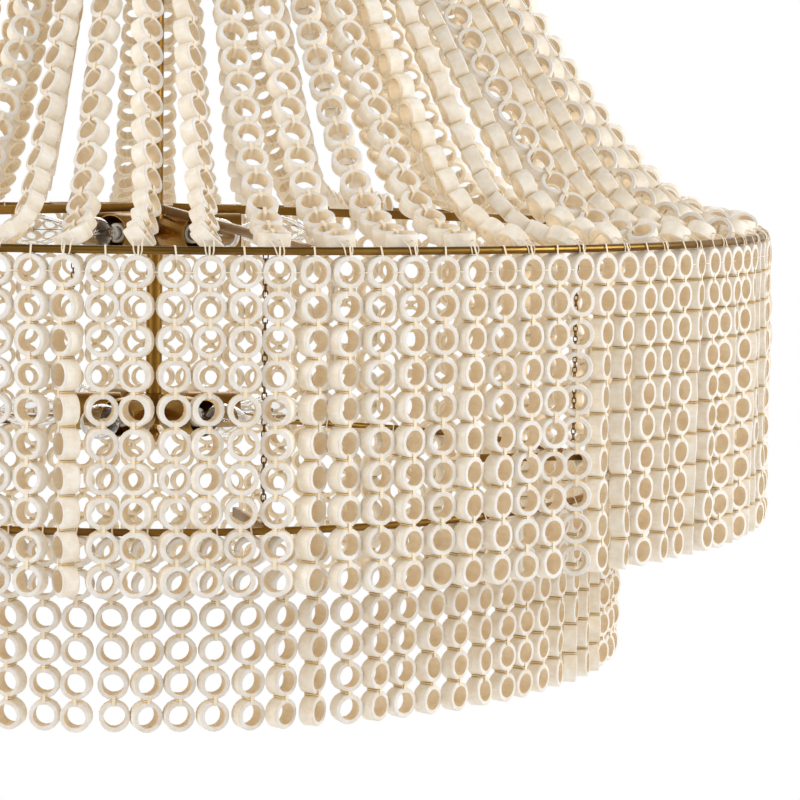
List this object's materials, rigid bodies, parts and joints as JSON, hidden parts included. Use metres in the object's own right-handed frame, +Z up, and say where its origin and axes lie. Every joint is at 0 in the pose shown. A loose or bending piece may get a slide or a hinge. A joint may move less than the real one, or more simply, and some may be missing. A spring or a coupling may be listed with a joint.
{
  "type": "beaded chandelier",
  "caption": "Two-tier round chandelier of strung ring beads: strands drape from a crown to a brass ring, hang in two curtains, and hide clustered cup lights on a central stem.",
  "frame": {"origin": "centre of the mounting strap's top face, on the ceiling", "axes": "+Z up towards the ceiling, -Y towards the viewer of the picture, +X to the viewer's right"},
  "size_m": [1.1446, 1.1446, 1.0534],
  "materials": {
    "brass": "satin antique brass",
    "dark_brass": "darkened antique brass",
    "beads": "whitewashed, matt, with tan inner walls",
    "bulb_glass": "clear",
    "strap_steel": "zinc plated"
  },
  "bodies": {
    "ceiling_fitting": {"mounting_strap": "strap_steel", "canopy": "brass", "canopy_loop": "brass"},
    "hanger": {"hanger_link": "brass"},
    "chandelier_frame": {"stem_loop": "brass", "crown_frame": "brass", "crown_lock_ring": "dark_brass", "upper_stem": "brass", "upper_hub": "brass", "middle_stem": "brass", "lower_hub": "brass", "finial": "brass", "upper_ring": "brass", "spoke_1": "brass", "spoke_2": "brass", "spoke_3": "brass", "spoke_4": "brass", "upper_cup_1": "brass", "upper_cup_2": "brass", "upper_cup_3": "brass", "upper_cup_4": "brass", "upper_cup_5": "brass", "upper_cup_6": "brass", "upper_bulb_1": "bulb_glass", "upper_bulb_2": "bulb_glass", "upper_bulb_3": "bulb_glass", "upper_bulb_4": "bulb_glass", "upper_bulb_5": "bulb_glass", "upper_bulb_6": "bulb_glass", "lower_cup_1": "brass", "lower_cup_2": "brass", "lower_cup_3": "brass", "lower_cup_4": "brass", "lower_cup_5": "brass", "lower_cup_6": "brass", "lower_bulb_1": "bulb_glass", "lower_bulb_2": "bulb_glass", "lower_bulb_3": "bulb_glass", "lower_bulb_4": "bulb_glass", "lower_bulb_5": "bulb_glass", "lower_bulb_6": "bulb_glass", "upper_curtain_1": "beads", "upper_curtain_2": "beads", "upper_curtain_3": "beads", "upper_curtain_4": "beads", "crown_drape_1": "beads", "crown_drape_2": "beads", "crown_drape_3": "beads", "crown_drape_4": "beads"},
    "tier_chain_1": {"chain_1": "dark_brass"},
    "tier_chain_2": {"chain_2": "dark_brass"},
    "tier_chain_3": {"chain_3": "dark_brass"},
    "tier_chain_4": {"chain_4": "dark_brass"},
    "lower_tier": {"lower_ring": "brass", "lower_curtain_1": "beads", "lower_curtain_2": "beads", "lower_curtain_3": "beads", "lower_curtain_4": "beads"}
  },
  "joints": [
    {"name": "link_swing", "type": "hinge", "parent": "ceiling_fitting", "child": "hanger", "pos_m": [0, 0, -0.0663], "axis": [1, 0, 0], "range_deg": [-20, 20]},
    {"name": "chandelier_swing", "type": "hinge", "parent": "hanger", "child": "chandelier_frame", "pos_m": [0, 0, -0.10856], "axis": [0, 1, 0], "range_deg": [-20, 20]},
    {"name": "chain_1_swing", "type": "hinge", "parent": "chandelier_frame", "child": "tier_chain_1", "pos_m": [0.08774, -0.41278, -0.67519], "axis": [0.2079, -0.9781, 0], "range_deg": [-15, 15]},
    {"name": "chain_2_swing", "type": "hinge", "parent": "chandelier_frame", "child": "tier_chain_2", "pos_m": [0.41278, 0.08774, -0.67519], "axis": [0.2079, -0.9781, 0], "range_deg": [-15, 15]},
    {"name": "chain_3_swing", "type": "hinge", "parent": "chandelier_frame", "child": "tier_chain_3", "pos_m": [-0.08774, 0.41278, -0.67519], "axis": [0.2079, -0.9781, 0], "range_deg": [-15, 15]},
    {"name": "chain_4_swing", "type": "hinge", "parent": "chandelier_frame", "child": "tier_chain_4", "pos_m": [-0.41278, -0.08774, -0.67519], "axis": [0.2079, -0.9781, 0], "range_deg": [-15, 15]},
    {"name": "lower_tier_swing", "type": "hinge", "parent": "tier_chain_1", "child": "lower_tier", "pos_m": [0.08774, -0.41278, -0.88113], "axis": [0.2079, -0.9781, 0], "range_deg": [-15, 15]}
  ],
  "couplings": [
    {"joint": "lower_tier_swing", "follows": "chain_1_swing", "ratio": -1},
    {"joint": "chain_2_swing", "follows": "chain_1_swing", "ratio": 1},
    {"joint": "chain_3_swing", "follows": "chain_1_swing", "ratio": 1},
    {"joint": "chain_4_swing", "follows": "chain_1_swing", "ratio": 1}
  ]
}
